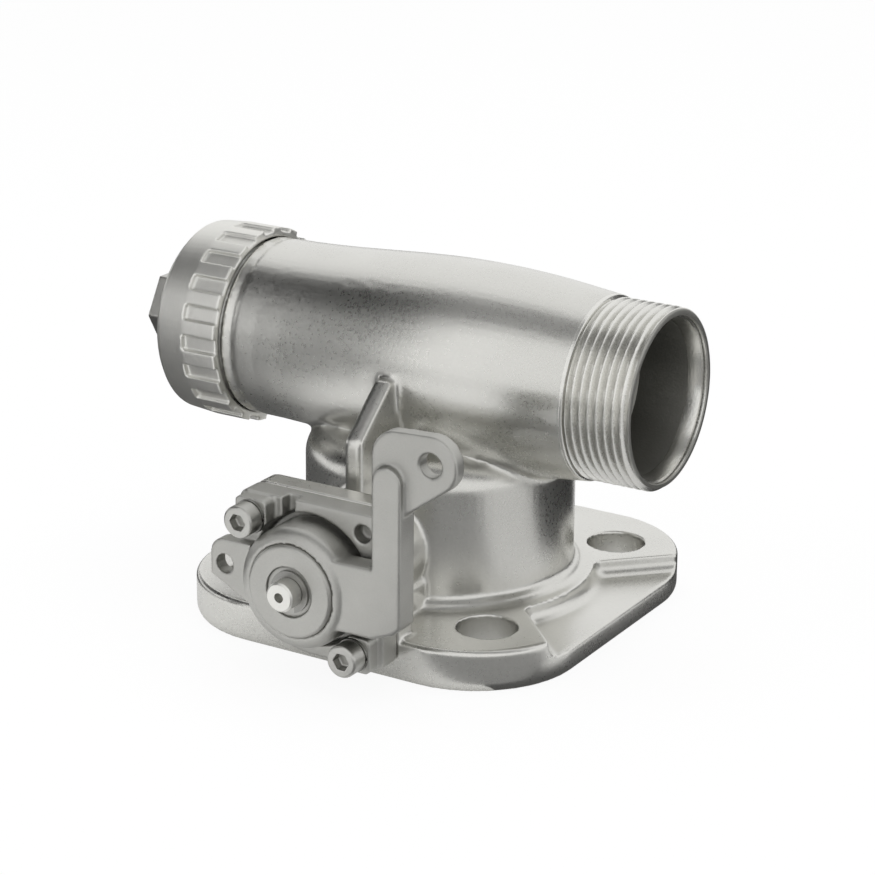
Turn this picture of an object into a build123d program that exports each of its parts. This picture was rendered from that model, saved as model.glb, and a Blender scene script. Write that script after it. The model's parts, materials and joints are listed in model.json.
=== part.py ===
from build123d import *
from math import cos, radians, sin, sqrt
import os

# Tank valve with a flanged ball chamber below and a T-shaped outlet tube above.
# Frame: origin at the centre of the flange's bottom face, +Z up the ball chamber,
# +X along the tube to the open outlet, -Y out to the operating lever. Millimetres.

# Flange
neck_r = 36.3               # outside of the ball chamber
flange_half = 55.7          # half width across the straight edges
flange_corner_r = 66.5      # out to the rounded corners, from the flange axis
flange_t = 11.0
flange_edge_chamfer = 0.8
flange_round_r = (flange_half * sqrt(2) - flange_corner_r) / (sqrt(2) - 1)
bolt_circle_r = 50.1
bolt_hole_r = 7.95
step_depth = 4.5            # lowered side under the outlet
step_lug_half = 12.7        # from a hole's centre to the inner side of its lug
step_ring_r = neck_r + 5.7  # ring left standing around the ball chamber
step_corner_r = 3.3
step_foot_r = 3.0

# Ball chamber
neck_top_z = 49.0
neck_shoulder_r = 7.5
neck_foot_r = 2.0
ball_r = 22.0
ball_z = 25.7
cavity_r = ball_r + 0.8
port_r = 0.705 * ball_r
seat_w = 0.26 * ball_r      # height of each seat ring
seat_r = ball_r - 0.5
seat_gap = 0.06             # ball to seat
seat_offset = 0.573 * ball_r  # ball centre to the near face of a seat
fit = 0.1                   # radial clearance of located rings and bushes

# Tube
tube_z = 67.8
tube_end_r = 24.4
tube_mid_r = 27.2
tube_bore_r = 20.1
tube_left_x = -50.5         # small step near the cap
tube_step = 0.3
cap_shoulder_x = -54.7
tube_right_x = 49.4         # shoulder behind the outlet thread
outlet_x = 67.7
thread_r = 23.9             # 1 1/2 inch pipe thread, 11 to the inch
thread_pitch = 2.309
thread_depth = 1.3
thread_relief_r = 22.9
mouth_lip_r = 21.7
mouth_cone_r = 21.2
mouth_step = 1.5
mouth_cone_l = 3.5

# Stem line and its housing on the front of the chamber
pad_face_y = flange_half + 0.2  # distances out along -Y from the chamber's axis
pad_back_y = pad_face_y - 6.7
gasket_t = 0.5
bonnet_face_y = pad_face_y + 7.3
housing_half = 21.5
housing_top = 20.5          # above and below the stem axis
housing_round_r = 20.5      # corner without a screw
stem_boss_r = 15.7
boss_foot_half = 15.6       # block from the boss down to the flange
boss_foot_top = 6.2         # below the stem axis
boss_foot_r = 2.5
rib_t = 5.2
rib_edge_r = 1.2
rib_foot_y = 28.3
rib_front_y = 44.0
rib_corner_z = 56.6
rib_top_y = 29.6
rib_top_z = 69.2
screw_offset = 15.4         # each way from the stem axis
lug_half = 4.7
lug_face_y = bonnet_face_y + 4.2
pocket_r = 17.6
pocket_floor_y = pad_face_y + 2.7
sight_hole_r = 2.4
sight_hole_depth = 3.5
drain_slot_w = 3.6
drain_slot_l = 12.0

# Screws, M5 socket head
screw_r = 2.5
screw_head_r = 4.25
screw_head_h = 5.0
screw_socket_af = 4.0
screw_l = 20.0              # under the head
screw_clear = 0.25
spring_washer_t = 0.8

# Stem train
stem_r = 6.0
stem_square = 8.6
stem_pin_r = 3.9
stem_pin_end_y = pad_face_y + 21.7
stem_centre_r = 1.3
tang_w = 7.6
slot_w = 8.0
slot_floor_y = 0.727 * ball_r
collar_r = 8.6
collar_y = ball_r + 1.2
collar_t = 3.0
washer_t = 1.0
box_r = 10.0                # packing box
box_floor_y = pad_face_y - 9.9
ring_t = 2.6                # each packing ring
ring_count = 3
ring_flare = 0.6
bush_flange_r = 11.0
bush_flange_t = 1.2
spring_t = 0.7
nut_af = 19.0
nut_t = 3.2
oring_seat_y = pad_face_y - 17.9

# Lever
lever_back_y = pad_face_y + 8.6
lever_face_y = lever_back_y + 7.0
plate_face_y = lever_face_y - 2.0
plate_back_y = plate_face_y - 4.0
hub_r = 16.0
hub_round_r = 3.5
hub_face_y = lever_face_y + 0.9
hub_back_y = pad_face_y + 3.8
hub_recess_r = 12.2
hub_floor_y = hub_back_y + 3.7
hub_plate_r = 12.3
hub_plate_t = 1.8
hub_plate_y = hub_face_y + 0.9
dish_r = 6.7
dish_depth = 1.0
arm_left = 23.2
arm_right = 31.4
arm_top = 37.6              # above the stem axis
web_top = 9.9
web_rise = 0.4              # over the web's length
web_low = 8.1
arm_foot = 5.8
plate_left = 21.9
plate_top = 46.6
plate_low = 24.6            # where the lower edge meets the arm
plate_corner_r = 7.0
rod_hole_r = 3.1
rod_hole_x = 38.6
rod_hole_up = 39.7
rod_eye_r = 7.4
ear_hole_x = 24.6
ear_hole_r = 2.6
ear_face_y = bonnet_face_y + 2.8
ear_t = 4.4

# Bottom retainer
retainer_r = ball_r + 2.6
retainer_sink = 0.8
retainer_bore_r = port_r + 1.5
key_slots = 4
key_slot_w = 5.0
key_slot_depth = 2.0

# Cap with its plug
cap_rim_x = -55.1
cap_end_x = -75.6
cap_r = 27.0
cap_end_r = 26.3
cap_corner = 1.8
cap_clear = 0.3
cap_wall = 4.0
cap_gasket_t = 2.5
cap_side_end_x = cap_end_x + cap_wall + cap_gasket_t
cap_thread_r = thread_r - 0.4
grip_count = 20
grip_deg = 9.0
grip_depth = 1.2
grip_start_x = -65.5
boss_r = 11.6
boss_h = 2.6
plug_af = 20.0
plug_h = 9.0
plug_thread_r = 6.58
plug_l = 8.0
plug_washer_t = 1.3

os.makedirs("parts", exist_ok=True)


def front(depth):
    """Plane facing the lever side, its own origin on the stem axis."""
    return Plane(origin=(0, -depth, ball_z), x_dir=(1, 0, 0), z_dir=(0, -1, 0))


def tube_plane(x):
    """Plane across the tube at x, its normal along +X."""
    return Plane(origin=(x, 0, tube_z), x_dir=(0, 1, 0), z_dir=(1, 0, 0))


def ridges(start, end, crest, pitch, depth):
    """Half profile of a ridged thread along X, as (distance, radius) points."""
    count = int((end - start) / pitch)
    spare = (end - start - count * pitch) / 2
    points = [(start, crest - depth)]
    for turn in range(count):
        left = start + spare + turn * pitch
        points += [(left, crest - depth), (left + 0.4 * pitch, crest), (left + 0.6 * pitch, crest)]
    points += [(end - spare, crest - depth), (end, crest - depth)]
    return points


tube_axis = Axis((0, 0, tube_z), (1, 0, 0))
stem_axis = Axis((0, 0, ball_z), (0, -1, 0))
screw_spots = [(-screw_offset, screw_offset), (screw_offset, -screw_offset)]
hole_angles = [45 + 90 * quarter for quarter in range(4)]
seat_far = seat_offset + seat_w
retainer_top = ball_z - seat_offset - seat_w / 2
retainer_seat_z = ball_z - seat_far
screw_tip_y = lug_face_y + spring_washer_t - screw_l

# Housing outline about the stem axis: square, with one corner rounded off.
with BuildSketch() as housing_outline:
    with BuildLine():
        Polyline(
            (-housing_half, 0),
            (-housing_half, housing_top),
            (housing_half, housing_top),
            (housing_half, -housing_top),
            (0, -housing_top),
        )
        RadiusArc((0, -housing_top), (-housing_half, 0), housing_round_r + 1)
    make_face()
    fillet(housing_outline.vertices().group_by(SortBy.DISTANCE)[-1], 2.5)

# Main casting: flange, ball chamber, tube, stem housing pad and rib.
thread_right = ridges(tube_right_x + 1.2, outlet_x - 0.6, thread_r, thread_pitch, thread_depth)
thread_left = ridges(cap_side_end_x + 0.6, cap_shoulder_x - 0.6, cap_thread_r, thread_pitch, thread_depth)
# Wedge taken off the flange's outlet side, with rounded corners and foot.
with BuildPart() as step_cut:
    with BuildSketch(Plane.XY.offset(flange_t - step_depth)):
        with BuildLine():
            reach = 2 * flange_corner_r
            inner = step_lug_half * sqrt(2)
            Polyline((inner, 0), (inner + reach, reach), (inner + reach, -reach), (inner, 0))
        make_face()
        Circle(step_ring_r, mode=Mode.SUBTRACT)
    extrude(amount=2 * step_depth)
    upright_edges = step_cut.edges().filter_by(Axis.Z).sort_by(Axis.X)[0:2]
    fillet(upright_edges, step_corner_r)
    floor_edges = step_cut.faces().sort_by(Axis.Z)[0].edges().sort_by(Axis.X)[0:-1]
    fillet(floor_edges, step_foot_r)

# Rib from the tube down to the stem boss.
with BuildPart() as rib:
    with BuildSketch(Plane.YZ.offset(-rib_t / 2)):
        with BuildLine():
            Polyline(
                (-rib_foot_y, ball_z),
                (-rib_front_y, ball_z + stem_boss_r / 2),
                (-rib_front_y, rib_corner_z),
                (-rib_top_y, rib_top_z),
                (-tube_bore_r - 2, rib_top_z),
                (-tube_bore_r - 2, ball_z),
                close=True,
            )
        make_face()
    extrude(amount=rib_t)
    fillet(rib.edges().filter_by(Axis.X).sort_by(Axis.Y)[0:2], 2 * rib_edge_r)
    fillet(rib.faces().filter_by(Axis.X).edges().filter_by(Plane.YZ), rib_edge_r)

with BuildPart() as body:
    with BuildSketch(Plane.XY):
        RectangleRounded(2 * flange_half, 2 * flange_half, flange_round_r)
    extrude(amount=flange_t)
    chamfer(body.faces().sort_by(Axis.Z)[0].edges(), flange_edge_chamfer)
    chamfer(body.faces().sort_by(Axis.Z)[-1].edges(), flange_edge_chamfer)
    add(step_cut.part, mode=Mode.SUBTRACT)
    ledge_edges = body.edges().filter_by_position(Axis.X, flange_half - flange_round_r, flange_half + 1)
    chamfer(ledge_edges.filter_by(Axis.Y).group_by(Axis.Z)[-2], flange_edge_chamfer)
    with BuildSketch(Plane.XZ):
        with BuildLine():
            foot_top = (neck_r, flange_t + neck_foot_r)
            foot_edge = (neck_r + neck_foot_r, flange_t)
            RadiusArc(foot_top, foot_edge, neck_foot_r)
            Polyline(foot_edge, (neck_r - 2, flange_t), (neck_r - 2, flange_t + neck_foot_r), foot_top)
        make_face()
    revolve(axis=Axis.Z)
    with BuildSketch(Plane.XY):
        Circle(neck_r)
    extrude(amount=neck_top_z)
    fillet(body.edges().group_by(Axis.Z)[-1], neck_shoulder_r)
    # Tube with its slight barrel shape, then the two threaded ends.
    with BuildSketch(Plane.XZ.offset(0)):
        with BuildLine():
            Spline(
                (tube_left_x, tube_z + tube_end_r),
                (0.6 * tube_left_x, tube_z + tube_end_r + 0.25 * (tube_mid_r - tube_end_r)),
                (0.08 * tube_right_x, tube_z + tube_mid_r),
                (0.72 * tube_right_x, tube_z + tube_end_r + 0.55 * (tube_mid_r - tube_end_r)),
                (tube_right_x, tube_z + tube_end_r),
                tangents=((1, 0), (1, -0.1)),
            )
            Polyline(
                (tube_right_x, tube_z + tube_end_r),
                (tube_right_x, tube_z),
                (cap_shoulder_x, tube_z),
                (cap_shoulder_x, tube_z + tube_end_r),
                (tube_left_x, tube_z + tube_end_r - tube_step),
                (tube_left_x, tube_z + tube_end_r),
            )
        make_face()
    revolve(axis=tube_axis)
    for profile, shoulder, tip in (
        (thread_right, tube_right_x, outlet_x),
        (thread_left, cap_shoulder_x, cap_side_end_x),
    ):
        low = min(shoulder, tip)
        high = max(shoulder, tip)
        with BuildSketch(Plane.XZ):
            with BuildLine():
                outline = [(low, tube_z), (low, tube_z + thread_relief_r)]
                outline += [(x, tube_z + r) for x, r in profile]
                outline += [(high, tube_z + thread_relief_r), (high, tube_z)]
                Polyline(*outline, close=True)
            make_face()
        revolve(axis=tube_axis)
    # Stem housing: round boss, square pad with one corner rounded off.
    with BuildSketch(front(cavity_r)):
        Circle(stem_boss_r)
    extrude(amount=pad_back_y - cavity_r)
    with BuildSketch(front(cavity_r)) as boss_foot:
        foot_h = ball_z - boss_foot_top - flange_t / 2
        with Locations((0, -boss_foot_top - foot_h / 2)):
            Rectangle(2 * boss_foot_half, foot_h)
        fillet(boss_foot.vertices().group_by(Axis.Z)[-1], boss_foot_r)
    extrude(amount=pad_back_y - cavity_r)
    with BuildSketch(front(pad_back_y)):
        add(housing_outline.sketch)
    extrude(amount=pad_face_y - pad_back_y)
    add(rib.part)
    # Ball chamber, open at the bottom, and the way up into the tube.
    with BuildSketch(Plane.XY):
        Circle(retainer_r + fit)
    extrude(amount=retainer_top, mode=Mode.SUBTRACT)
    with BuildSketch(Plane.XY):
        Circle(cavity_r)
    extrude(amount=ball_z + seat_offset, mode=Mode.SUBTRACT)
    with BuildSketch(Plane.XY):
        Circle(seat_r + fit)
    extrude(amount=ball_z + seat_far, mode=Mode.SUBTRACT)
    with BuildSketch(Plane.XY):
        Circle(port_r)
    extrude(amount=tube_z, mode=Mode.SUBTRACT)
    # Bore of the tube with the stepped cone at the outlet.
    with BuildSketch(Plane.XZ):
        with BuildLine():
            Polyline(
                (cap_side_end_x - 1, tube_z),
                (cap_side_end_x - 1, tube_z + tube_bore_r),
                (outlet_x - mouth_step - mouth_cone_l, tube_z + tube_bore_r),
                (outlet_x - mouth_step, tube_z + mouth_cone_r),
                (outlet_x - mouth_step, tube_z + mouth_lip_r),
                (outlet_x + 1, tube_z + mouth_lip_r),
                (outlet_x + 1, tube_z),
                close=True,
            )
        make_face()
    revolve(axis=tube_axis, mode=Mode.SUBTRACT)
    # Stem bore, seat of its collar, packing box and screw holes.
    with BuildSketch(front(slot_floor_y)):
        Circle(collar_r + fit)
    extrude(amount=collar_y + collar_t + washer_t + fit - slot_floor_y, mode=Mode.SUBTRACT)
    with BuildSketch(front(slot_floor_y)):
        Circle(stem_r + 3 * fit)
    extrude(amount=pad_face_y - slot_floor_y, mode=Mode.SUBTRACT)
    with BuildSketch(front(box_floor_y)):
        Circle(box_r)
    extrude(amount=pad_face_y - box_floor_y, mode=Mode.SUBTRACT)
    with BuildSketch(front(pad_face_y)):
        with Locations(*screw_spots):
            Circle(screw_r)
    extrude(amount=-(pad_face_y - screw_tip_y + 1.0), mode=Mode.SUBTRACT)
    with BuildSketch(Plane.XY):
        with PolarLocations(bolt_circle_r, 4, start_angle=hole_angles[0]):
            Circle(bolt_hole_r)
    extrude(amount=flange_t, mode=Mode.SUBTRACT)
body.part.label = "valve_body"
export_step(body.part, "parts/valve_body.step")

# Bottom retainer: threaded ring with a cup for the lower seat and spanner slots.
oring_r = 1.0
with BuildPart() as seat_retainer:
    with BuildSketch(Plane.XY.offset(retainer_sink)):
        Circle(retainer_r)
        Circle(retainer_bore_r, mode=Mode.SUBTRACT)
    extrude(amount=retainer_top - retainer_sink - fit)
    with BuildSketch(Plane.XY.offset(retainer_seat_z)):
        Circle(seat_r + fit)
    extrude(amount=seat_w, mode=Mode.SUBTRACT)
    with BuildSketch(Plane.XY.offset(retainer_sink)):
        with PolarLocations((retainer_bore_r + retainer_r) / 2, key_slots):
            Rectangle(retainer_r, key_slot_w)
    extrude(amount=key_slot_depth, mode=Mode.SUBTRACT)
    with BuildSketch(Plane.XZ):
        with Locations((retainer_r, retainer_seat_z - 2 * oring_r)):
            Rectangle(4 * oring_r + fit, 2.4 * oring_r)
    revolve(axis=Axis.Z, mode=Mode.SUBTRACT)
seat_retainer.part.label = "seat_retainer"
export_step(seat_retainer.part, "parts/seat_retainer.step")

with BuildPart() as retainer_o_ring:
    with BuildSketch(Plane.XZ):
        with Locations((retainer_r - oring_r + fit / 2, retainer_seat_z - 2 * oring_r)):
            Circle(oring_r)
    revolve(axis=Axis.Z)
retainer_o_ring.part.label = "retainer_o_ring"
export_step(retainer_o_ring.part, "parts/retainer_o_ring.step")

# Two equal ball seats, one above and one below the ball.
for seat_name, side in (("upper_seat", 1), ("lower_seat", -1)):
    with BuildPart() as seat:
        with BuildSketch(Plane.XY.offset(ball_z + side * seat_offset)):
            Circle(seat_r)
            Circle(port_r, mode=Mode.SUBTRACT)
        extrude(amount=side * seat_w)
        with BuildSketch(Plane.XZ):
            with BuildLine():
                top_point = (0, ball_z + ball_r + seat_gap)
                low_point = (0, ball_z - ball_r - seat_gap)
                ThreePointArc(top_point, (ball_r + seat_gap, ball_z), low_point)
                Line(low_point, top_point)
            make_face()
        revolve(axis=Axis.Z, mode=Mode.SUBTRACT)
    seat.part.label = seat_name
    export_step(seat.part, f"parts/{seat_name}.step")

# Ball, shown closed: its port lies along X and its stem slot upright.
with BuildPart() as ball:
    with BuildSketch(Plane.XZ):
        with BuildLine():
            ThreePointArc((0, ball_z + ball_r), (ball_r, ball_z), (0, ball_z - ball_r))
            Line((0, ball_z - ball_r), (0, ball_z + ball_r))
        make_face()
    revolve(axis=Axis.Z)
    with BuildSketch(Plane.YZ.offset(-ball_r)):
        with Locations((0, ball_z)):
            Circle(port_r - 1)
    extrude(amount=2 * ball_r, mode=Mode.SUBTRACT)
    with BuildSketch(front(slot_floor_y)):
        Rectangle(slot_w, 2 * ball_r)
    extrude(amount=ball_r, mode=Mode.SUBTRACT)
ball.part.label = "ball"
export_step(ball.part, "parts/ball.step")

# Stem: tang, collar, shank, square for the lever, pin with a centre hole.
with BuildPart() as stem:
    with BuildSketch(front(slot_floor_y + fit)):
        Rectangle(tang_w, 2 * collar_r - 2)
    extrude(amount=collar_y - slot_floor_y - fit)
    with BuildSketch(front(collar_y)):
        Circle(collar_r)
    extrude(amount=collar_t)
    with BuildSketch(front(collar_y)):
        Circle(stem_r)
    extrude(amount=hub_floor_y - collar_y)
    with BuildSketch(front(hub_floor_y)):
        Rectangle(stem_square, stem_square)
        Circle(stem_r, mode=Mode.INTERSECT)
    extrude(amount=hub_plate_y - hub_plate_t - hub_floor_y)
    with BuildSketch(front(hub_floor_y)):
        Circle(stem_pin_r)
    extrude(amount=stem_pin_end_y - hub_floor_y)
    chamfer(stem.faces().sort_by(Axis.Y)[0].edges(), 0.5)
    with BuildSketch(front(stem_pin_end_y)):
        Circle(stem_centre_r)
    extrude(amount=-3, mode=Mode.SUBTRACT)
    with BuildSketch(Plane.YZ):
        with Locations((-oring_seat_y, ball_z + stem_r)):
            Rectangle(2.0, 2.2)
        with Locations((-(hub_plate_y - dish_depth + 0.45), ball_z + stem_pin_r)):
            Rectangle(0.9, 1.0)
    revolve(axis=stem_axis, mode=Mode.SUBTRACT)
stem.part.label = "stem"
export_step(stem.part, "parts/stem.step")

with BuildPart() as stem_o_ring:
    ring_minor = 0.67
    with BuildSketch(Plane.YZ):
        with Locations((-oring_seat_y, ball_z + stem_r + 2.5 * fit - ring_minor)):
            Circle(ring_minor)
    revolve(axis=stem_axis)
stem_o_ring.part.label = "stem_o_ring"
export_step(stem_o_ring.part, "parts/stem_o_ring.step")

with BuildPart() as thrust_washer:
    with BuildSketch(front(collar_y + collar_t + fit / 2)):
        Circle(collar_r)
        Circle(stem_r + fit, mode=Mode.SUBTRACT)
    extrude(amount=washer_t)
thrust_washer.part.label = "thrust_washer"
export_step(thrust_washer.part, "parts/thrust_washer.step")

# Packing: nested chevron rings in the box of the main casting.
with BuildPart() as packing_rings:
    with BuildSketch(Plane.YZ):
        for ring in range(ring_count):
            back = -(box_floor_y + 2 * ring_flare + ring * (ring_t + fit / 2))
            low = ball_z + stem_r + fit / 2
            high = ball_z + box_r - fit / 2
            middle = (low + high) / 2
            with BuildLine():
                Polyline(
                    (back, low),
                    (back + ring_flare, middle),
                    (back, high),
                    (back - ring_t, high),
                    (back - ring_t + ring_flare, middle),
                    (back - ring_t, low),
                    close=True,
                )
            make_face()
    revolve(axis=stem_axis)
packing_rings.part.label = "packing_rings"
export_step(packing_rings.part, "parts/packing_rings.step")

bush_back_y = box_floor_y + 2 * ring_flare + ring_count * (ring_t + fit / 2)
bush_flange_y = pad_face_y + gasket_t
spring_back_y = bush_flange_y + bush_flange_t
with BuildPart() as gland_bush:
    with BuildSketch(front(bush_back_y)):
        Circle(box_r - fit)
        Circle(stem_r + fit, mode=Mode.SUBTRACT)
    extrude(amount=bush_flange_y - bush_back_y)
    with BuildSketch(front(bush_flange_y)):
        Circle(bush_flange_r)
        Circle(stem_r + fit, mode=Mode.SUBTRACT)
    extrude(amount=bush_flange_t)
gland_bush.part.label = "gland_bush"
export_step(gland_bush.part, "parts/gland_bush.step")

# Two coned disc springs set against each other, and the nut that loads them.
spring_rise = 0.35
with BuildPart() as disc_springs:
    with BuildSketch(Plane.YZ):
        near = -spring_back_y
        inner = ball_z + stem_r + 2 * fit
        outer = ball_z + bush_flange_r - fit
        for base, rise in ((near, -spring_rise), (near - 2 * spring_rise - spring_t, spring_rise)):
            with BuildLine():
                Polyline(
                    (base, outer),
                    (base + rise, inner),
                    (base + rise - spring_t, inner),
                    (base - spring_t, outer),
                    close=True,
                )
            make_face()
    revolve(axis=stem_axis)
disc_springs.part.label = "disc_springs"
export_step(disc_springs.part, "parts/disc_springs.step")

nut_back_y = spring_back_y + 2 * spring_t + 2 * spring_rise + fit
with BuildPart() as stem_nut:
    with BuildSketch(front(nut_back_y)):
        RegularPolygon(nut_af / 2, 6, major_radius=False)
        Circle(stem_r + fit / 2, mode=Mode.SUBTRACT)
    extrude(amount=nut_t)
stem_nut.part.label = "stem_nut"
export_step(stem_nut.part, "parts/stem_nut.step")

# Bonnet: the bolted front of the stem housing, with its pocket, screw lugs and ear.
with BuildPart() as bonnet:
    with BuildSketch(front(pad_face_y + gasket_t)):
        add(housing_outline.sketch)
    extrude(amount=bonnet_face_y - pad_face_y - gasket_t)
    with BuildSketch(front(bonnet_face_y)):
        with Locations(*screw_spots):
            RectangleRounded(2 * lug_half, 2 * lug_half, 1.5)
    extrude(amount=lug_face_y - bonnet_face_y)
    with BuildSketch(front(ear_face_y - ear_t)):
        with BuildLine():
            ear_top = 2.6 * ear_hole_r
            Polyline(
                (-hub_r, -1.5 * ear_top),
                (-hub_r, ear_top),
                (-ear_hole_x, ear_top),
            )
            RadiusArc((-ear_hole_x, ear_top), (-ear_hole_x - ear_hole_r - 1.6, ear_top / 2), -4)
            Polyline(
                (-ear_hole_x - ear_hole_r - 1.6, ear_top / 2),
                (-ear_hole_x - ear_hole_r - 1.6, -ear_top / 2),
                (-hub_r, -1.5 * ear_top),
            )
        make_face()
        with Locations((-ear_hole_x, 0)):
            Circle(ear_hole_r, mode=Mode.SUBTRACT)
    extrude(amount=ear_t)
    with BuildSketch(front(pocket_floor_y)):
        Circle(pocket_r)
    extrude(amount=lug_face_y - pocket_floor_y, mode=Mode.SUBTRACT)
    with BuildSketch(front(pad_face_y)):
        Circle(bush_flange_r + 3 * fit)
    extrude(amount=lug_face_y - pad_face_y, mode=Mode.SUBTRACT)
    with BuildSketch(front(pad_face_y)):
        with Locations(*screw_spots):
            Circle(screw_r + screw_clear)
    extrude(amount=lug_face_y - pad_face_y, mode=Mode.SUBTRACT)
    # Blind locking hole without a screw, and the drain slot beside the upper lug.
    with BuildSketch(front(bonnet_face_y)):
        with Locations((screw_offset, screw_offset)):
            Circle(sight_hole_r)
        with Locations((-screw_offset / 2 + 1.0, housing_top)):
            Rectangle(drain_slot_w, drain_slot_l)
    extrude(amount=-sight_hole_depth, mode=Mode.SUBTRACT)
bonnet.part.label = "bonnet"
export_step(bonnet.part, "parts/bonnet.step")

with BuildPart() as bonnet_gasket:
    with BuildSketch(front(pad_face_y)):
        Circle(pocket_r)
        Circle(bush_flange_r + 3 * fit, mode=Mode.SUBTRACT)
    extrude(amount=gasket_t)
bonnet_gasket.part.label = "bonnet_gasket"
export_step(bonnet_gasket.part, "parts/bonnet_gasket.step")

with BuildPart() as bonnet_screws:
    head_back_y = lug_face_y + spring_washer_t
    with BuildSketch(front(head_back_y)):
        with Locations(*screw_spots):
            Circle(screw_head_r)
    extrude(amount=screw_head_h)
    chamfer(bonnet_screws.faces().sort_by(Axis.Y)[0:2].edges(), 0.4)
    with BuildSketch(front(head_back_y)):
        with Locations(*screw_spots):
            Circle(screw_r - fit / 2)
    extrude(amount=-screw_l)
    with BuildSketch(front(head_back_y + screw_head_h)):
        with Locations(*screw_spots):
            RegularPolygon(screw_socket_af / 2, 6, major_radius=False)
    extrude(amount=-screw_head_h / 2, mode=Mode.SUBTRACT)
bonnet_screws.part.label = "bonnet_screws"
export_step(bonnet_screws.part, "parts/bonnet_screws.step")

with BuildPart() as spring_washers:
    with BuildSketch(front(lug_face_y)):
        with Locations(*screw_spots):
            Circle(screw_head_r + 0.2)
            Circle(screw_r + screw_clear, mode=Mode.SUBTRACT)
            with Locations((screw_head_r, 0)):
                Rectangle(2 * screw_head_r - 2 * screw_r, 0.8, mode=Mode.SUBTRACT)
    extrude(amount=spring_washer_t)
spring_washers.part.label = "spring_washers"
export_step(spring_washers.part, "parts/spring_washers.step")

# Lever: hub, web and raised arm, with the flat plate behind the arm's top.
with BuildPart() as lever:
    with BuildSketch(front(hub_back_y)):
        Circle(hub_r)
    extrude(amount=hub_face_y - hub_back_y)
    fillet(lever.faces().sort_by(Axis.Y)[0].edges(), hub_round_r)
    with BuildSketch(front(lever_back_y)):
        with BuildLine():
            Polyline(
                (0, web_top),
                (arm_left, web_top + web_rise),
                (arm_left, arm_top - (arm_right - arm_left) / 2),
            )
            ThreePointArc(
                (arm_left, arm_top - (arm_right - arm_left) / 2),
                ((arm_left + arm_right) / 2, arm_top),
                (arm_right, arm_top - (arm_right - arm_left) / 2),
            )
            Polyline(
                (arm_right, arm_top - (arm_right - arm_left) / 2),
                (arm_right, -arm_foot + 2),
                (arm_right - 2, -arm_foot),
                (arm_left, -web_low),
                (0, -web_low),
                (0, web_top),
            )
        make_face()
    extrude(amount=lever_face_y - lever_back_y)
    with BuildSketch(front(plate_back_y)):
        with BuildLine():
            Polyline(
                (plate_left, web_top),
                (plate_left, plate_top - plate_corner_r),
            )
            RadiusArc(
                (plate_left, plate_top - plate_corner_r),
                (plate_left + plate_corner_r, plate_top),
                plate_corner_r,
            )
            eye_top = (rod_hole_x, rod_hole_up + rod_eye_r)
            eye_low_angle = radians(-52)
            eye_low = (
                rod_hole_x + rod_eye_r * cos(eye_low_angle),
                rod_hole_up + rod_eye_r * sin(eye_low_angle),
            )
            Line((plate_left + plate_corner_r, plate_top), eye_top)
            ThreePointArc(eye_top, (rod_hole_x + rod_eye_r, rod_hole_up), eye_low)
            Polyline(eye_low, (arm_right - 1, plate_low), (arm_right - 1, web_top), (plate_left, web_top))
        make_face()
        with Locations((rod_hole_x, rod_hole_up)):
            Circle(rod_hole_r, mode=Mode.SUBTRACT)
    extrude(amount=plate_face_y - plate_back_y)
    with BuildSketch(front(hub_back_y)):
        Circle(hub_recess_r)
    extrude(amount=hub_floor_y - hub_back_y, mode=Mode.SUBTRACT)
    with BuildSketch(front(hub_floor_y)):
        Rectangle(stem_square + fit, stem_square + fit)
        Circle(stem_r + fit / 2, mode=Mode.INTERSECT)
    extrude(amount=hub_face_y - hub_floor_y, mode=Mode.SUBTRACT)
    with BuildSketch(front(hub_plate_y - hub_plate_t)):
        Circle(hub_plate_r + fit)
    extrude(amount=5, mode=Mode.SUBTRACT)
lever.part.label = "lever"
export_step(lever.part, "parts/lever.step")

with BuildPart() as hub_plate:
    with BuildSketch(front(hub_plate_y - hub_plate_t)):
        Circle(hub_plate_r)
        Circle(stem_pin_r + fit / 2, mode=Mode.SUBTRACT)
    extrude(amount=hub_plate_t)
    chamfer(hub_plate.faces().sort_by(Axis.Y)[0].edges().sort_by(SortBy.RADIUS)[-1], 0.6)
    with BuildSketch(front(hub_plate_y)):
        Circle(dish_r)
    extrude(amount=-dish_depth, mode=Mode.SUBTRACT)
hub_plate.part.label = "hub_plate"
export_step(hub_plate.part, "parts/hub_plate.step")

with BuildPart() as stem_clip:
    with BuildSketch(front(hub_plate_y - dish_depth + fit / 2)):
        Circle(dish_r - 1.2)
        Circle(stem_pin_r - 0.45, mode=Mode.SUBTRACT)
        with Locations((0, -dish_r)):
            Rectangle(3.0, dish_r, mode=Mode.SUBTRACT)
    extrude(amount=0.7)
stem_clip.part.label = "stem_clip"
export_step(stem_clip.part, "parts/stem_clip.step")

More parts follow.
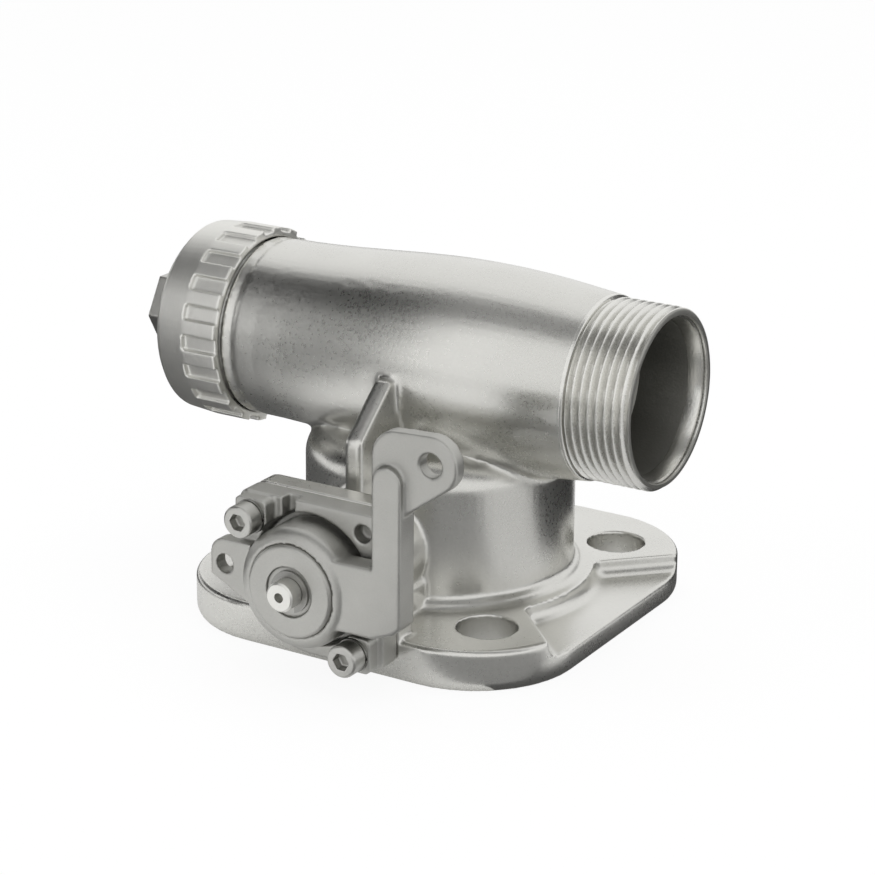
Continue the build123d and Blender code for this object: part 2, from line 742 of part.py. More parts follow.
# Cap on the closed side: grip slots around it, threaded boss for its plug.
with BuildPart() as end_cap:
    with BuildSketch(Plane.XZ):
        with BuildLine():
            Polyline(
                (cap_rim_x, tube_z),
                (cap_rim_x, tube_z + cap_r),
                (grip_start_x, tube_z + cap_r),
                (cap_end_x + cap_corner, tube_z + cap_end_r),
                (cap_end_x, tube_z + cap_end_r - cap_corner),
                (cap_end_x, tube_z + boss_r),
                (cap_end_x - boss_h, tube_z + boss_r - 0.6),
                (cap_end_x - boss_h, tube_z),
                close=True,
            )
        make_face()
    revolve(axis=tube_axis)
    with BuildSketch(tube_plane(cap_end_x + cap_wall)):
        Circle(thread_r + cap_clear)
    extrude(amount=cap_rim_x - cap_end_x, mode=Mode.SUBTRACT)
    with BuildSketch(tube_plane(grip_start_x)):
        with PolarLocations(cap_r, grip_count):
            Rectangle(2 * grip_depth, 2 * cap_r * sin(radians(grip_deg / 2)))
    extrude(amount=cap_rim_x - grip_start_x, mode=Mode.SUBTRACT)
    with BuildSketch(tube_plane(cap_end_x - boss_h)):
        Circle(plug_thread_r + fit)
    extrude(amount=cap_wall + boss_h, mode=Mode.SUBTRACT)
end_cap.part.label = "end_cap"
export_step(end_cap.part, "parts/end_cap.step")

with BuildPart() as cap_gasket:
    with BuildSketch(tube_plane(cap_end_x + cap_wall)):
        Circle(cap_thread_r - 0.4)
        Circle(tube_bore_r + 0.3, mode=Mode.SUBTRACT)
    extrude(amount=cap_gasket_t)
cap_gasket.part.label = "cap_gasket"
export_step(cap_gasket.part, "parts/cap_gasket.step")

plug_seat_x = cap_end_x - boss_h
with BuildPart() as plug_washer:
    with BuildSketch(tube_plane(plug_seat_x)):
        Circle(boss_r - 1.2)
        Circle(plug_thread_r + fit, mode=Mode.SUBTRACT)
    extrude(amount=-plug_washer_t)
plug_washer.part.label = "plug_washer"
export_step(plug_washer.part, "parts/plug_washer.step")

with BuildPart() as cap_plug:
    plug_head_x = plug_seat_x - plug_washer_t
    with BuildSketch(tube_plane(plug_head_x)):
        RegularPolygon(plug_af / 2, 6, major_radius=False)
    extrude(amount=-plug_h)
    with BuildSketch(tube_plane(plug_head_x)):
        Circle(plug_thread_r)
    extrude(amount=plug_l)
cap_plug.part.label = "cap_plug"
export_step(cap_plug.part, "parts/cap_plug.step")
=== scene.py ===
import json
import math

import bmesh
import bpy
import numpy as np
from mathutils import Matrix, Vector


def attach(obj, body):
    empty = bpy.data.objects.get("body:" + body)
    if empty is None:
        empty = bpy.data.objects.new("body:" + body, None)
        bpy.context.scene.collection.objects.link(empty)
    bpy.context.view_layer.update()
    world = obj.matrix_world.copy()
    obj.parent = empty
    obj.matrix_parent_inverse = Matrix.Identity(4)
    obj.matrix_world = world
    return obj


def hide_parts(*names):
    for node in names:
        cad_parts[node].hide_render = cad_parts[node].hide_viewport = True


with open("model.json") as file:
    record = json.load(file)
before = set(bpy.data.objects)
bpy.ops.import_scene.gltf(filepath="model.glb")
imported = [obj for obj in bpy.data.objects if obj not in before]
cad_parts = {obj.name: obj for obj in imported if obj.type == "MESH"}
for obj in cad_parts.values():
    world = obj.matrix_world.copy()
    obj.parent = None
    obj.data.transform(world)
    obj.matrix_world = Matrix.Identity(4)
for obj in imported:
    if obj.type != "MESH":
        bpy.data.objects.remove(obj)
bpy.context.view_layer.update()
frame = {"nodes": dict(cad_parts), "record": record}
nodes = frame["nodes"]
scene = bpy.context.scene
print("frame loaded,", len(nodes), "nodes")


# shader helpers: a Wire is a socket that can be used in plain arithmetic
class Wire:
    def __init__(self, tree, socket):
        self.tree = tree
        self.socket = socket

    def calc(self, operation, *values):
        return addNode(self.tree, "ShaderNodeMath", {"operation": operation}, dict(enumerate(values)))

    def __add__(self, other):
        return self.calc("ADD", self, other)

    def __radd__(self, other):
        return self.calc("ADD", other, self)

    def __sub__(self, other):
        return self.calc("SUBTRACT", self, other)

    def __rsub__(self, other):
        return self.calc("SUBTRACT", other, self)

    def __mul__(self, other):
        return self.calc("MULTIPLY", self, other)

    def __rmul__(self, other):
        return self.calc("MULTIPLY", other, self)

    def limit(self, low, high):
        return self.calc("MINIMUM", self.calc("MAXIMUM", self, low), high)


def addNode(tree, kind, settings=None, inputs=None, out=0):
    node = tree.nodes.new(kind)
    for key, value in (settings or {}).items():
        setattr(node, key, value)
    for key, value in (inputs or {}).items():
        if isinstance(value, Wire):
            tree.links.new(value.socket, node.inputs[key])
        else:
            node.inputs[key].default_value = value
    return Wire(tree, node.outputs[out])


def newMaterial(name):
    material = bpy.data.materials.new(name)
    material.use_nodes = True
    tree = material.node_tree
    tree.nodes.clear()
    return material, tree


def finishMaterial(tree, shader):
    output = tree.nodes.new("ShaderNodeOutputMaterial")
    tree.links.new(shader.socket, output.inputs["Surface"])


# 1 for the rays that see a surface straight or in a mirror, 0 for the rays that carry its light
def rayKinds(tree):
    path = tree.nodes.new("ShaderNodeLightPath")
    names = ("Is Camera Ray", "Is Glossy Ray", "Is Transmission Ray")
    return [Wire(tree, path.outputs[name]) for name in names]


# one finish: tone and roughness drift in soft clouds, fine grain in the bump, inner corners darker as
# painted shade from ambient occlusion, and rougher there
finishSet = {
    "cloudDetail": 3.0, "cloudRoughness": 0.55, "grainDetail": 1.5, "grainRoughness": 0.5,
    "cornerSamples": 6, "cornerRough": 0.1, "smoothest": 0.05, "roughest": 0.95}


def surfaceFinish(name, look):
    material, tree = newMaterial(name)
    place = addNode(tree, "ShaderNodeTexCoord", out=3)
    clouds = addNode(tree, "ShaderNodeTexNoise", {}, {
        "Vector": place, "Scale": 1 / look["cloudSize"],
        "Detail": finishSet["cloudDetail"], "Roughness": finishSet["cloudRoughness"]})
    grainPlace = addNode(tree, "ShaderNodeMapping", {}, {"Vector": place, "Scale": look["stretch"]})
    grain = addNode(tree, "ShaderNodeTexNoise", {}, {
        "Vector": grainPlace, "Scale": 1 / look["grainSize"],
        "Detail": finishSet["grainDetail"], "Roughness": finishSet["grainRoughness"]})
    cornerSettings = {"samples": finishSet["cornerSamples"], "only_local": True}
    # ambient occlusion finds the inner corners; the colour is darkened there as painted shade
    openness = addNode(tree, "ShaderNodeAmbientOcclusion", cornerSettings, {
        "Distance": look["cornerReach"]}, out=1)
    cornerShadeMask = (1 - openness).limit(0, 1)
    blend = (clouds - 0.5) * look["cloudGain"] + (grain - 0.5) * look["grainGain"]
    blend = blend - cornerShadeMask * look["paintedCornerShade"] + 0.5
    tone = addNode(tree, "ShaderNodeMix", {"data_type": "RGBA"}, {
        0: blend, 6: (*look["dark"], 1), 7: (*look["light"], 1)}, out=2)
    roughness = look["roughness"] + (clouds - 0.5) * look["roughSpread"]
    roughness = roughness + (grain - 0.5) * look["grainRough"] + cornerShadeMask * finishSet["cornerRough"]
    bump = addNode(tree, "ShaderNodeBump", {}, {
        "Height": grain, "Strength": look["grainStrength"], "Distance": look["grainDepth"]})
    shader = addNode(tree, "ShaderNodeBsdfPrincipled", {}, {
        "Base Color": tone, "Metallic": look["metallic"],
        "Roughness": roughness.limit(finishSet["smoothest"], finishSet["roughest"]), "Normal": bump})
    finishMaterial(tree, shader)
    return material


# in each look the corner darkness sets how strongly painted shade darkens inner corners and thread valleys
castLook = {
    "dark": (0.56, 0.556, 0.528), "light": (0.80, 0.795, 0.760), "cloudSize": 0.030, "cloudGain": 0.7,
    "grainSize": 0.0009, "grainGain": 0.30, "grainRough": 0.12, "stretch": (1, 1, 1),
    "cornerReach": 0.006, "paintedCornerShade": 0.6,
    "grainDepth": 0.00006, "grainStrength": 0.22, "roughness": 0.29, "roughSpread": 0.10, "metallic": 1.0}
blastedLook = {
    "dark": (0.40, 0.398, 0.377), "light": (0.585, 0.582, 0.554), "cloudSize": 0.012, "cloudGain": 0.7,
    "grainSize": 0.0005, "grainGain": 0.4, "grainRough": 0.15, "stretch": (1, 1, 1),
    "cornerReach": 0.004, "paintedCornerShade": 0.8,
    "grainDepth": 0.0001, "grainStrength": 0.5, "roughness": 0.46, "roughSpread": 0.10, "metallic": 1.0}
turnedLook = {
    "dark": (0.68, 0.676, 0.645), "light": (0.92, 0.915, 0.875), "cloudSize": 0.02, "cloudGain": 0.6,
    "grainSize": 0.0006, "grainGain": 0.35, "grainRough": 0.15, "stretch": (3, 0.3, 0.3),
    "cornerReach": 0.003, "paintedCornerShade": 1.0,
    "grainDepth": 0.0001, "grainStrength": 0.3, "roughness": 0.42, "roughSpread": 0.08, "metallic": 1.0}
boltLook = {
    "dark": (0.42, 0.417, 0.395), "light": (0.62, 0.617, 0.590), "cloudSize": 0.01, "cloudGain": 0.6,
    "grainSize": 0.0004, "grainGain": 0.3, "grainRough": 0.1, "stretch": (1, 1, 1),
    "cornerReach": 0.003, "paintedCornerShade": 0.9,
    "grainDepth": 0.00008, "grainStrength": 0.3, "roughness": 0.34, "roughSpread": 0.08, "metallic": 1.0}
# painted shade: the bore and the mouth's end face get darker colours than the rest of the steel
boreShadeLook = {
    "dark": (0.20, 0.198, 0.182), "light": (0.34, 0.336, 0.310), "cloudSize": 0.015, "cloudGain": 0.8,
    "grainSize": 0.0006, "grainGain": 0.3, "grainRough": 0.15, "stretch": (1, 1, 1),
    "cornerReach": 0.004, "paintedCornerShade": 0.3,
    "grainDepth": 0.0001, "grainStrength": 0.4, "roughness": 0.50, "roughSpread": 0.10, "metallic": 1.0}
endFaceShadeLook = dict(boreShadeLook, dark=(0.30, 0.298, 0.278), light=(0.46, 0.457, 0.430))
threadLook = {
    "dark": (0.66, 0.655, 0.625), "light": (0.88, 0.875, 0.838), "cloudSize": 0.02, "cloudGain": 0.6,
    "grainSize": 0.0006, "grainGain": 0.3, "grainRough": 0.1, "stretch": (1, 1, 1),
    "cornerReach": 0.0012, "paintedCornerShade": 0.9,
    "grainDepth": 0.00008, "grainStrength": 0.3, "roughness": 0.24, "roughSpread": 0.08, "metallic": 1.0}
springLook = {
    "dark": (0.22, 0.218, 0.208), "light": (0.36, 0.357, 0.340), "cloudSize": 0.006, "cloudGain": 0.8,
    "grainSize": 0.0004, "grainGain": 0.3, "grainRough": 0.1, "stretch": (1, 1, 1),
    "cornerReach": 0.002, "paintedCornerShade": 0.6,
    "grainDepth": 0.00008, "grainStrength": 0.3, "roughness": 0.35, "roughSpread": 0.08, "metallic": 1.0}
ballLook = {
    "dark": (0.74, 0.74, 0.73), "light": (0.84, 0.84, 0.83), "cloudSize": 0.02, "cloudGain": 0.5,
    "grainSize": 0.0008, "grainGain": 0.1, "grainRough": 0.03, "stretch": (1, 1, 1),
    "cornerReach": 0.002, "paintedCornerShade": 0.3,
    "grainDepth": 0.00004, "grainStrength": 0.1, "roughness": 0.10, "roughSpread": 0.04, "metallic": 1.0}
seatLook = {
    "dark": (0.80, 0.79, 0.75), "light": (0.92, 0.91, 0.88), "cloudSize": 0.01, "cloudGain": 0.5,
    "grainSize": 0.0005, "grainGain": 0.2, "grainRough": 0.1, "stretch": (1, 1, 1),
    "cornerReach": 0.002, "paintedCornerShade": 0.4,
    "grainDepth": 0.00005, "grainStrength": 0.2, "roughness": 0.42, "roughSpread": 0.06, "metallic": 0.0}
rubberLook = {
    "dark": (0.02, 0.02, 0.02), "light": (0.06, 0.06, 0.06), "cloudSize": 0.006, "cloudGain": 0.6,
    "grainSize": 0.0004, "grainGain": 0.4, "grainRough": 0.1, "stretch": (1, 1, 1),
    "cornerReach": 0.002, "paintedCornerShade": 0.4,
    "grainDepth": 0.00006, "grainStrength": 0.3, "roughness": 0.55, "roughSpread": 0.08, "metallic": 0.0}
gasketLook = {
    "dark": (0.66, 0.65, 0.61), "light": (0.84, 0.83, 0.79), "cloudSize": 0.008, "cloudGain": 0.6,
    "grainSize": 0.0004, "grainGain": 0.4, "grainRough": 0.1, "stretch": (1, 1, 1),
    "cornerReach": 0.002, "paintedCornerShade": 0.4,
    "grainDepth": 0.00006, "grainStrength": 0.3, "roughness": 0.6, "roughSpread": 0.08, "metallic": 0.0}

finishes = {
    "cast_steel": surfaceFinish("castSteel", castLook),
    "lever_steel": surfaceFinish("blastedSteel", blastedLook),
    "turned_steel": surfaceFinish("turnedSteel", turnedLook),
    "bolt_steel": surfaceFinish("boltSteel", boltLook),
    "spring_steel": surfaceFinish("springSteel", springLook),
    "polished_ball": surfaceFinish("polishedBall", ballLook),
    "seat_plastic": surfaceFinish("seatPlastic", seatLook),
    "seal_rubber": surfaceFinish("sealRubber", rubberLook),
    "gasket_plastic": surfaceFinish("gasketPlastic", gasketLook),
}
# the bore and end-face materials carry painted shade
paintedBoreShade = surfaceFinish("boreSteelPaintedShade", boreShadeLook)
threadFinish = surfaceFinish("threadSteel", threadLook)
paintedEndFaceShade = surfaceFinish("endFaceSteelPaintedShade", endFaceShadeLook)
slotOf = {entry["node"]: entry["material_slot"] for entry in frame["record"]["subparts"]}
for nodeName, slotName in slotOf.items():
    nodes[nodeName].data.materials.clear()
    nodes[nodeName].data.materials.append(finishes[slotName])
print("materials ready")


# softened castings: a copy of the CAD solid, remeshed, its inner corners filled and its edges worn round
def pointsOf(mesh):
    points = np.empty(len(mesh.vertices) * 3)
    mesh.vertices.foreach_get("co", points)
    return points.reshape(-1, 3)


def normalsOf(mesh):
    normals = np.empty(len(mesh.vertices) * 3, dtype=np.float32)
    mesh.vertex_normals.foreach_get("vector", normals)
    return normals.reshape(-1, 3).astype(float)


# each round lifts hollow places along their normals until they are as round as their radius
fillSet = {"newNormals": 10, "evenRounds": 5, "hollow": 0.025, "reach": 1.6, "pace": 0.8}


def fillCorners(mesh, rounds, grid, radii):
    points = pointsOf(mesh)
    pairs = np.empty(len(mesh.edges) * 2, dtype=np.int32)
    mesh.edges.foreach_get("vertices", pairs)
    first, second = pairs.reshape(-1, 2).T
    total = len(points)
    count = np.bincount(first, minlength=total) + np.bincount(second, minlength=total)
    # the lift that a hollow of the wanted radius has; 1.0 is far above any lift and keeps a zone as it is
    slack = np.where(radii > 0, grid ** 2 / (4 * np.maximum(radii, 1e-6)), 1.0)
    crease = None
    for turn in range(rounds):
        if turn % fillSet["newNormals"] == 0:
            mesh.vertices.foreach_set("co", points.ravel())
            mesh.update()
            normals = normalsOf(mesh)
        sums = np.stack([
            np.bincount(first, points[second, axis], total) + np.bincount(second, points[first, axis], total)
            for axis in range(3)], axis=1)
        lift = ((sums / count[:, None] - points) * normals).sum(axis=1)
        if crease is None:
            even = lift
            for ring in range(fillSet["evenRounds"]):
                even = np.bincount(first, even[second], total) + np.bincount(second, even[first], total)
                even = even / count
            crease = even > fillSet["hollow"] * grid
            for ring in range(int(fillSet["reach"] * radii.max() / grid)):
                wider = crease.copy()
                wider[first] |= crease[second]
                wider[second] |= crease[first]
                crease = wider
        points += normals * (fillSet["pace"] * crease * np.maximum(lift - slack, 0))[:, None]
    mesh.vertices.foreach_set("co", points.ravel())
    mesh.update()


# which points lie within reach of a line along an axis
def near(points, centre, reach, axis):
    sides = [side for side in range(3) if side != axis]
    return np.hypot(points[:, sides[0]] - centre[0], points[:, sides[1]] - centre[1]) < reach


tubeHeight = 0.0678
stemHeight = 0.0257
screwReach = 0.0154

# fillet radii of the casting, and the zones round its bores, holes and threads that stay as they are
castPlan = {
    "upperFillet": 0.0055, "lowerFillet": 0.0030, "filletSplit": 0.038, "tubeClear": 0.0216,
    "neckClear": 0.0262, "threadFrom": 0.0505, "threadAbove": 0.04, "holeAt": 0.03543,
    "holeClear": 0.0092, "screwClear": 0.0034, "stemClear": 0.0112}


def bodyRadii(points):
    plan = castPlan
    radii = np.where(points[:, 2] > plan["filletSplit"], plan["upperFillet"], plan["lowerFillet"])
    inside = near(points, (0, tubeHeight), plan["tubeClear"], 0)
    inside |= near(points, (0, 0), plan["neckClear"], 2)
    inside |= (np.abs(points[:, 0]) > plan["threadFrom"]) & (points[:, 2] > plan["threadAbove"])
    for sideX in (-1, 1):
        for sideY in (-1, 1):
            inside |= near(points, (sideX * plan["holeAt"], sideY * plan["holeAt"]), plan["holeClear"], 2)
        inside |= near(points, (sideX * screwReach, stemHeight - sideX * screwReach), plan["screwClear"], 1)
    inside |= near(points, (0, stemHeight), plan["stemClear"], 1) & (points[:, 1] < 0)
    return np.where(inside, 0.0, radii)


leverPlan = {
    "fillet": 0.0014, "hubClear": 0.0132, "rodHoleX": 0.0386, "rodHoleRise": 0.0397,
    "rodHoleClear": 0.0042}


def leverRadii(points):
    plan = leverPlan
    rodHole = (plan["rodHoleX"], stemHeight + plan["rodHoleRise"])
    inside = near(points, (0, stemHeight), plan["hubClear"], 1)
    inside |= near(points, rodHole, plan["rodHoleClear"], 1)
    return np.where(inside, 0.0, plan["fillet"])


bonnetPlan = {
    "fillet": 0.0012, "pocketClear": 0.0120, "eyeX": -0.0246, "eyeClear": 0.0036,
    "screwClear": 0.0036}


def bonnetRadii(points):
    plan = bonnetPlan
    inside = near(points, (0, stemHeight), plan["pocketClear"], 1)
    inside |= near(points, (plan["eyeX"], stemHeight), plan["eyeClear"], 1)
    for side in (-1, 1):
        inside |= near(points, (side * screwReach, stemHeight - side * screwReach), plan["screwClear"], 1)
    return np.where(inside, 0.0, plan["fillet"])


softSet = {
    "valve_body": {
        "piece": "castBody", "grid": 0.00055, "rounds": 70,
        "radii": bodyRadii, "worn": 4, "keep": 0.40, "cutAt": 0.0486},
    "lever": {
        "piece": "castLever", "grid": 0.00040, "rounds": 16,
        "radii": leverRadii, "worn": 4, "keep": 0.40},
    "bonnet": {
        "piece": "castBonnet", "grid": 0.00036, "rounds": 14,
        "radii": bonnetRadii, "worn": 4, "keep": 0.40},
    "end_cap": {
        "piece": "turnedCap", "grid": 0.00035, "rounds": 0,
        "radii": None, "worn": 2, "keep": 0.40},
    "cap_plug": {
        "piece": "hexPlug", "grid": 0.00035, "rounds": 0,
        "radii": None, "worn": 3, "keep": 0.5},
    "hub_plate": {
        "piece": "hubDisc", "grid": 0.00030, "rounds": 0,
        "radii": None, "worn": 2, "keep": 0.5},
    "bonnet_screws": {
        "piece": "socketScrews", "grid": 0.00024, "rounds": 0,
        "radii": None, "worn": 2, "keep": 0.5},
}
bodyOf = {name: body for body, names in frame["record"]["behaviour"]["bodies"].items() for name in names}


def applyModifiers(piece):
    graph = bpy.context.evaluated_depsgraph_get()
    mesh = bpy.data.meshes.new_from_object(piece.evaluated_get(graph))
    piece.modifiers.clear()
    piece.data = mesh
    return mesh


tubeFrom = 0.030  # only the tube is cut, so the flange below this height stays whole


def cutEnd(mesh, place):
    work = bmesh.new()
    work.from_mesh(mesh)
    tubeFaces = [face for face in work.faces if face.calc_center_median().z > tubeFrom]
    tubeEdges = list({edge for face in tubeFaces for edge in face.edges})
    tubeVerts = list({vert for face in tubeFaces for vert in face.verts})
    parts = bmesh.ops.bisect_plane(
        work, geom=tubeVerts + tubeEdges + tubeFaces,
        plane_co=(place, 0, 0), plane_no=(1, 0, 0), clear_outer=True)
    rim = [item for item in parts["geom_cut"] if isinstance(item, bmesh.types.BMEdge)]
    bmesh.ops.bridge_loops(work, edges=rim)
    bmesh.ops.recalc_face_normals(work, faces=work.faces[:])
    work.to_mesh(mesh)
    work.free()


# painted shade: the bore inside the tube and the chamber, and the mouth's end face, get darker colours than
# the steel round them
boreShadePlan = {"tube": 0.0206, "chamber": 0.0240, "chamberTop": 0.049, "endFrom": 0.06735}


def paintBoreShade(mesh):
    centres = np.empty(len(mesh.polygons) * 3)
    mesh.polygons.foreach_get("center", centres)
    centres = centres.reshape(-1, 3)
    chamber = near(centres, (0, 0), boreShadePlan["chamber"], 2) & (centres[:, 2] < boreShadePlan["chamberTop"])
    bore = near(centres, (0, tubeHeight), boreShadePlan["tube"], 0) | chamber
    mesh.materials.append(paintedBoreShade)
    mesh.materials.append(paintedEndFaceShade)
    # faces of the bore and of the mouth's end face take the painted-shade materials
    edge = centres[:, 0] > boreShadePlan["endFrom"]
    mesh.polygons.foreach_set("material_index", np.where(edge, 2, bore).astype(np.int32))


for nodeName, spec in softSet.items():
    piece = bpy.data.objects.new(spec["piece"], nodes[nodeName].data.copy())
    scene.collection.objects.link(piece)
    remesh = piece.modifiers.new("voxels", "REMESH")
    remesh.mode = "VOXEL"
    remesh.voxel_size = spec["grid"]
    mesh = applyModifiers(piece)
    if spec["rounds"]:
        fillCorners(mesh, spec["rounds"], spec["grid"], spec["radii"](pointsOf(mesh)))
    worn = piece.modifiers.new("worn", "SMOOTH")
    worn.iterations = spec["worn"]
    thin = piece.modifiers.new("thin", "DECIMATE")
    thin.ratio = spec["keep"]
    mesh = applyModifiers(piece)
    if "cutAt" in spec:
        cutEnd(mesh, spec["cutAt"])
    mesh.shade_smooth()
    mesh.materials.clear()
    mesh.materials.append(finishes[slotOf[nodeName]])
    if nodeName == "valve_body":
        paintBoreShade(mesh)
    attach(piece, bodyOf[nodeName])
    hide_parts(nodeName)
    print(spec["piece"], "has", len(mesh.polygons), "faces")


# outlet end: right-hand pipe thread outside, stepped mouth inside
outletSet = {
    "root": [
        (0.0480, 0.0238), (0.0485, 0.02446), (0.0491, 0.02442), (0.0494, 0.02415), (0.04942, 0.0232)],
    "shoulder": 0.0494, "face": 0.0677, "faceRadius": 0.0229, "relief": 0.0232, "rise": 1.2,
    "chamfer": 0.0231, "crest": 0.0239, "depth": 0.00145, "pitch": 0.002309,
    "threadStart": 0.0495, "crestFlat": 0.10, "flank": 0.86,
    "columns": 144, "step": 0.000115, "firstStep": 0.0002, "lastStep": 0.00005, "sharp": 50,
    "mouth": [
        (0.0677, 0.0219), (0.0674, 0.0217), (0.0662, 0.0217),
        (0.0662, 0.0212), (0.0627, 0.0201), (0.0480, 0.0201)]}


def outletRadius(place, angles):
    spec = outletSet
    phase = ((place - spec["threadStart"]) / spec["pitch"] - angles / (2 * math.pi)) % 1.0
    valley = np.clip((np.abs(phase - 0.5) * 2 - spec["crestFlat"]) / spec["flank"], 0, 1)
    ridge = spec["crest"] - spec["depth"] * valley
    rise = spec["relief"] + max(place - spec["threadStart"], 0) * spec["rise"]
    fall = spec["chamfer"] + (spec["face"] - place)
    return np.minimum(ridge, min(rise, fall))


def ringPoints(place, radius, angles):
    radii = np.broadcast_to(radius, angles.shape)
    return [
        (place, float(reach * math.cos(angle)), tubeHeight + float(reach * math.sin(angle)))
        for reach, angle in zip(radii, angles)]


angles = np.linspace(0, 2 * math.pi, outletSet["columns"], endpoint=False)
rings = [ringPoints(place, radius, angles) for place, radius in outletSet["root"]]
threadFrom = outletSet["shoulder"] + outletSet["firstStep"]
threadTo = outletSet["face"] - outletSet["lastStep"]
for place in np.arange(threadFrom, threadTo, outletSet["step"]):
    rings.append(ringPoints(float(place), outletRadius(float(place), angles), angles))
rings.append(ringPoints(outletSet["face"], outletSet["faceRadius"], angles))
rings += [ringPoints(place, radius, angles) for place, radius in outletSet["mouth"]]
columns = outletSet["columns"]
faces = []
for row in range(len(rings)):
    here, there = row * columns, ((row + 1) % len(rings)) * columns
    for column in range(columns):
        beside = (column + 1) % columns
        faces.append((here + column, here + beside, there + beside, there + column))
outletMesh = bpy.data.meshes.new("outletThread")
outletMesh.from_pydata([point for ring in rings for point in ring], [], faces)
outletPiece = bpy.data.objects.new("outletThread", outletMesh)
scene.collection.objects.link(outletPiece)
work = bmesh.new()
work.from_mesh(outletMesh)
bmesh.ops.recalc_face_normals(work, faces=work.faces[:])
work.to_mesh(outletMesh)
work.free()
outletMesh.set_sharp_from_angle(angle=math.radians(outletSet["sharp"]))
outletMesh.materials.append(threadFinish)
paintBoreShade(outletMesh)
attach(outletPiece, "casing")
print("outlet thread ready,", len(faces), "faces")


# camera at the photograph's viewing angle
cameraSet = {
    "place": (0.35832, -0.59863, 0.28748), "lens": 113.32, "sensor": 36,
    "right": (0.8557, 0.5174, 0.0089), "up": (-0.177, 0.2765, 0.9446)}
cameraData = bpy.data.cameras.new("photoCamera")
cameraData.lens = cameraSet["lens"]
cameraData.sensor_width = cameraSet["sensor"]
cameraData.clip_start = 0.01
camera = bpy.data.objects.new("photoCamera", cameraData)
scene.collection.objects.link(camera)
rightAxis = Vector(cameraSet["right"]).normalized()
upAxis = Vector(cameraSet["up"])
upAxis = (upAxis - upAxis.dot(rightAxis) * rightAxis).normalized()
backAxis = rightAxis.cross(upAxis)
turn = Matrix((rightAxis, upAxis, backAxis)).transposed().to_4x4()
camera.matrix_world = Matrix.Translation(Vector(cameraSet["place"])) @ turn
scene.camera = camera


# studio: floor, cards, lamps and sky
def studioCard(name, corners, material):
    mesh = bpy.data.meshes.new(name)
    mesh.from_pydata(corners, [], [tuple(range(len(corners)))])
    card = bpy.data.objects.new(name, mesh)
    scene.collection.objects.link(card)
    mesh.materials.append(material)
    return card


floorSet = {"size": 6.0, "colour": (0.86, 0.86, 0.86), "whiteToCamera": 0.92, "whiteToGloss": 0.20}
floorMaterial, tree = newMaterial("floorPaper")
straight, mirrored, through = rayKinds(tree)
gloss = mirrored.calc("MAXIMUM", mirrored, through)
white = straight * floorSet["whiteToCamera"] + gloss * floorSet["whiteToGloss"]
paper = addNode(tree, "ShaderNodeBsdfDiffuse", {}, {"Color": (*floorSet["colour"], 1)})
glow = addNode(tree, "ShaderNodeEmission", {}, {"Color": (1, 1, 1, 1), "Strength": 1.0})
finishMaterial(tree, addNode(tree, "ShaderNodeMixShader", {}, {0: white, 1: paper, 2: glow}))
half = floorSet["size"] / 2
floorCorners = [(-half, -half, 0), (half, -half, 0), (half, half, 0), (-half, half, 0)]
studioCard("floor", floorCorners, floorMaterial)
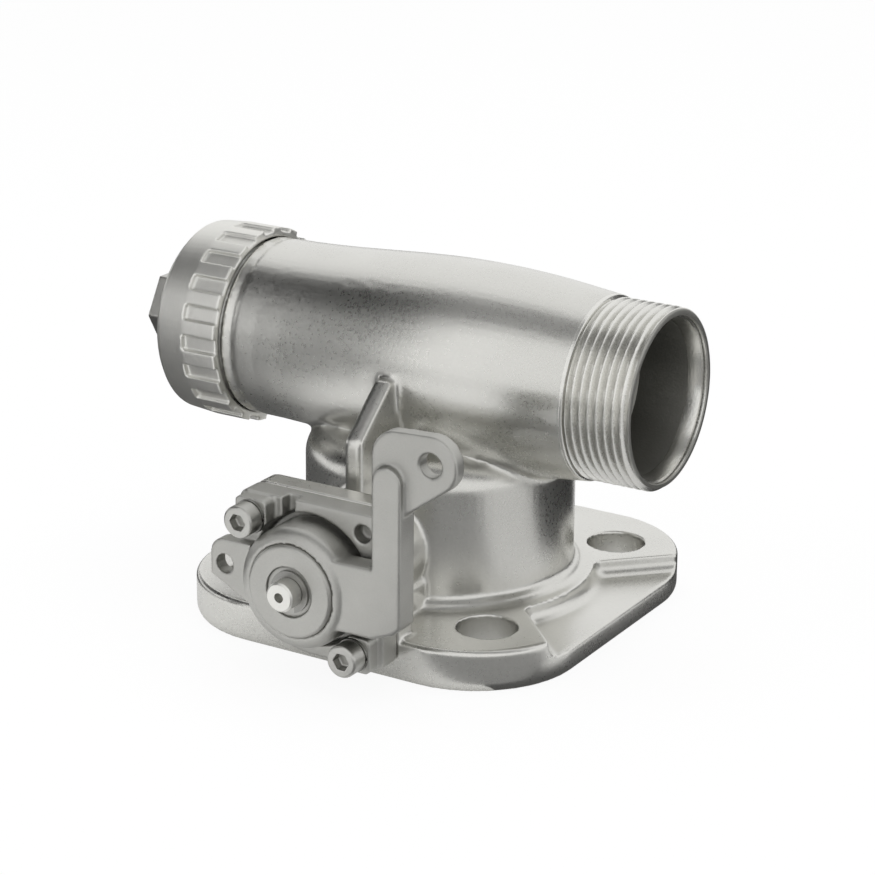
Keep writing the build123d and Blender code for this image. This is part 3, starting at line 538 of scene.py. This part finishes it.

# cards that only reflections see, painting the reflections: bands overhead, walls and softboxes at the
# sides, painted shade on the ground
cardSet = {
    "overheadLeftCard": {"tone": 0.0, "corners": [
        (-2.6, -1.00, 1.07), (-0.74, -0.90, 1.07),
        (-0.60, -0.50, 1.07), (-0.60, 0.10, 1.07),
        (-2.6, 0.10, 1.07)]},
    "overheadRightCard": {"tone": 0.30, "corners": [
        (-0.60, -0.50, 1.07), (1.6, -0.50, 1.07),
        (1.6, 0.08, 1.07), (-0.60, 0.10, 1.07)]},
    "leftBackCard": {"tone": 0.06, "corners": [
        (-1.5, -0.45, 0.40), (-1.5, 0.80, 0.40),
        (-1.5, 0.80, 1.50), (-1.5, -0.45, 1.50)]},
    "leftCard": {"tone": 0.0, "corners": [
        (-1.2, -1.90, 0.0), (-1.2, -0.90, 0.0),
        (-1.2, -0.90, 1.4), (-1.2, -1.90, 1.4)]},
    "leftGroundCard": {"tone": 0.10, "corners": [
        (-1.2, -1.75, 0.0006), (-0.125, -0.150, 0.0006),
        (-0.066, -0.02, 0.0006), (-0.066, 0.16, 0.0006),
        (-0.9, 1.6, 0.0006)]},
    "softboxLeftCard": {"tone": 1.60, "corners": [
        (-0.97, -1.4, 0.10), (-0.74, -1.4, 0.10),
        (-0.74, -1.2, 1.7), (-0.97, -1.2, 1.7)]},
    "softboxRightCard": {"tone": 1.0, "corners": [
        (-0.74, -1.4, 0.10), (-0.15, -1.4, 0.10),
        (-0.15, -1.2, 1.7), (-0.74, -1.2, 1.7)]},
    "cameraGroundCard": {"tone": 0.28, "corners": [
        (0.010, -0.084, 0.0006), (0.070, -0.030, 0.0006),
        (1.6, -1.1, 0.0006), (0.3, -1.8, 0.0006)]},
    "rightGroundCard": {"tone": 0.70, "corners": [
        (0.070, -0.030, 0.0006), (1.6, -1.1, 0.0006),
        (1.6, 0.3, 0.0006), (0.080, 0.025, 0.0006)]},
    # painted contact shadow on the ground beside the flange, seen only in reflections
    "contactShadowCard": {"tone": 0.10, "corners": [
        (0.045, -0.066, 0.0003), (0.0625, -0.040, 0.0003),
        (0.0625, 0.070, 0.0003), (0.045, 0.070, 0.0003)]},
    "backRightGroundCard": {"tone": 0.04, "corners": [
        (0.080, 0.025, 0.0006), (1.4, 0.25, 0.0006),
        (1.4, 1.9, 0.0006), (0.02, 1.9, 0.0006),
        (0.02, 0.090, 0.0006)]},
    "backRightCard": {"tone": 0.04, "corners": [
        (0.25, 1.9, 0.0), (1.4, 1.9, 0.0),
        (1.4, 1.9, 0.45), (0.25, 1.9, 0.45)]},
}
for name, spec in cardSet.items():
    cardMaterial, tree = newMaterial(name + "Paint")
    finishMaterial(tree, addNode(tree, "ShaderNodeEmission", {}, {
        "Color": (spec["tone"], spec["tone"], spec["tone"], 1), "Strength": 1.0}))
    card = studioCard(name, spec["corners"], cardMaterial)
    card.visible_camera = False
    card.visible_diffuse = False
    card.visible_shadow = False

lampSet = {
    "overheadLamp": {"place": (0.0, 0.3, 1.3), "aim": (0, 0, 0.05), "size": 1.4, "power": 12.0},
    "keyLamp": {"place": (-0.7, -0.9, 0.9), "aim": (0, 0, 0.05), "size": 0.6, "power": 4.0},
    "fillLamp": {"place": (1.1, -0.5, 0.6), "aim": (0, 0, 0.05), "size": 0.8, "power": 3.0},
}
for name, spec in lampSet.items():
    lampData = bpy.data.lights.new(name, "AREA")
    lampData.size = spec["size"]
    lampData.energy = spec["power"]
    lamp = bpy.data.objects.new(name, lampData)
    scene.collection.objects.link(lamp)
    lamp.location = spec["place"]
    lamp.rotation_euler = (Vector(spec["place"]) - Vector(spec["aim"])).to_track_quat("Z", "Y").to_euler()
    lamp.visible_glossy = False

world = bpy.data.worlds.new("studioSky")
scene.world = world
world.use_nodes = True
tree = world.node_tree
tree.nodes.clear()
skyLevel = 0.55
straight, mirrored, through = rayKinds(tree)
direct = straight + mirrored + through
strength = skyLevel + direct.limit(0, 1) * (1 - skyLevel)
sky = addNode(tree, "ShaderNodeBackground", {}, {"Color": (1, 1, 1, 1), "Strength": strength})
output = tree.nodes.new("ShaderNodeOutputWorld")
tree.links.new(sky.socket, output.inputs["Surface"])
scene.view_settings.view_transform = "Standard"
print("studio ready")
